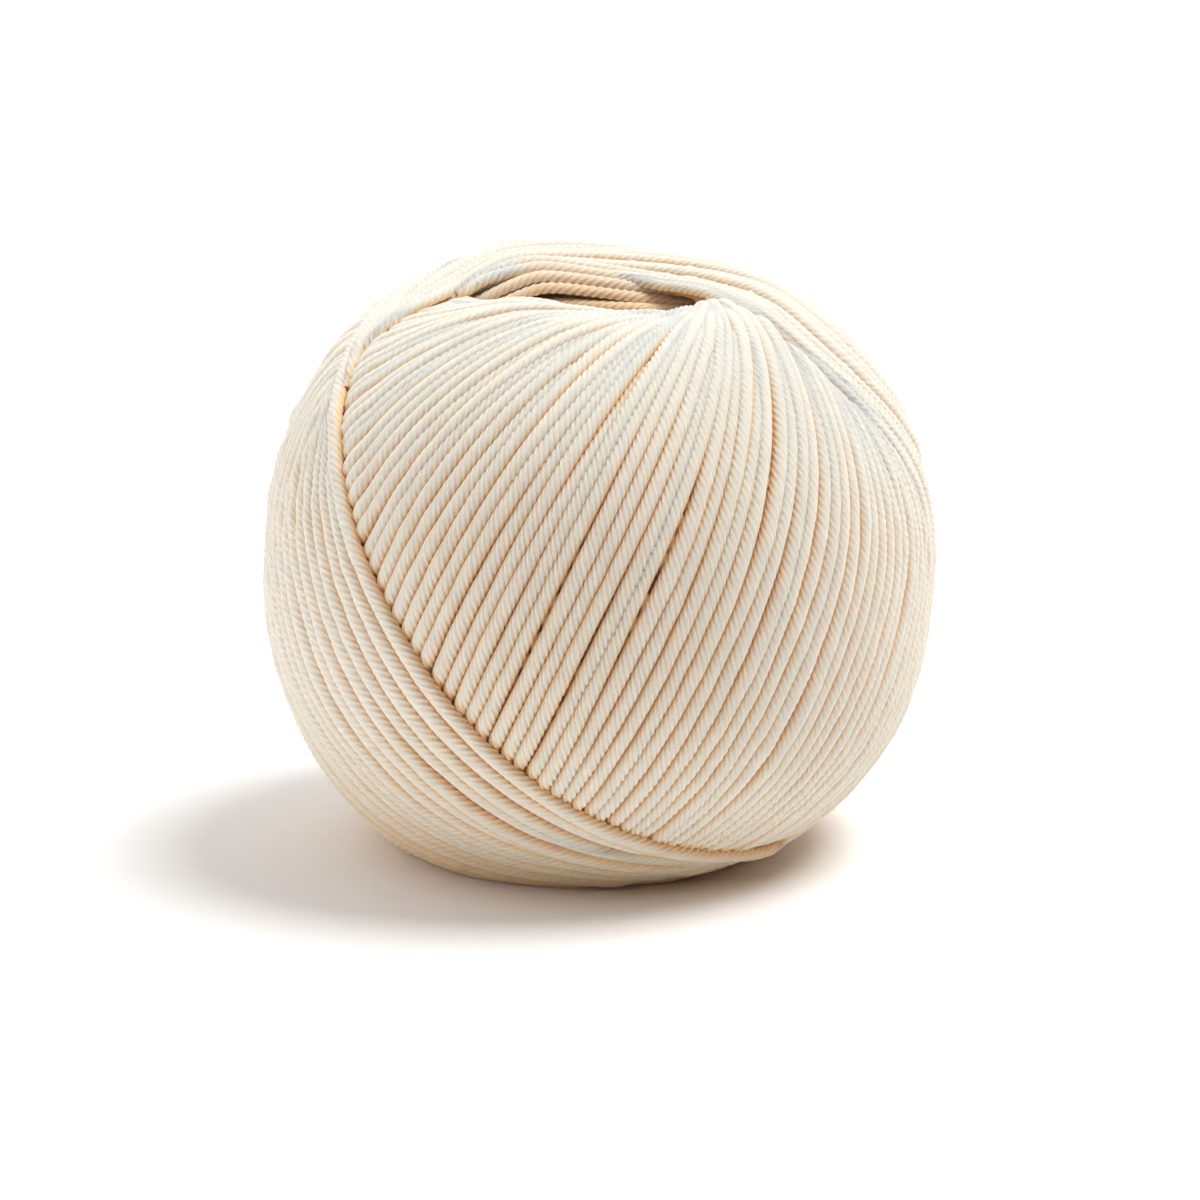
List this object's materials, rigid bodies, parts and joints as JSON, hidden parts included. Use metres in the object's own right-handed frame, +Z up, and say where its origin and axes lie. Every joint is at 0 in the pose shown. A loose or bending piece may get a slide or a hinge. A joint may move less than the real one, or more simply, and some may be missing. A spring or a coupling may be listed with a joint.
{
  "type": "ball of yarn",
  "caption": "Machine-wound ball of cream plied cotton yarn with a centre hole, its loops crossing in a band at one side, standing on its lower rim.",
  "frame": {"origin": "centre of the footprint, on the surface that the ball stands on", "axes": "+Z up, along the ball's centre hole but for a small lean towards +X; seen from -Y the band of last loops crosses the lower left"},
  "size_m": [0.0802, 0.0784, 0.0695],
  "materials": {
    "cotton_yarn": "matt, soft plied cotton with a fine twist and a little fuzz"
  },
  "bodies": {
    "root": {"wound_ball": "cotton_yarn"}
  },
  "joints": []
}
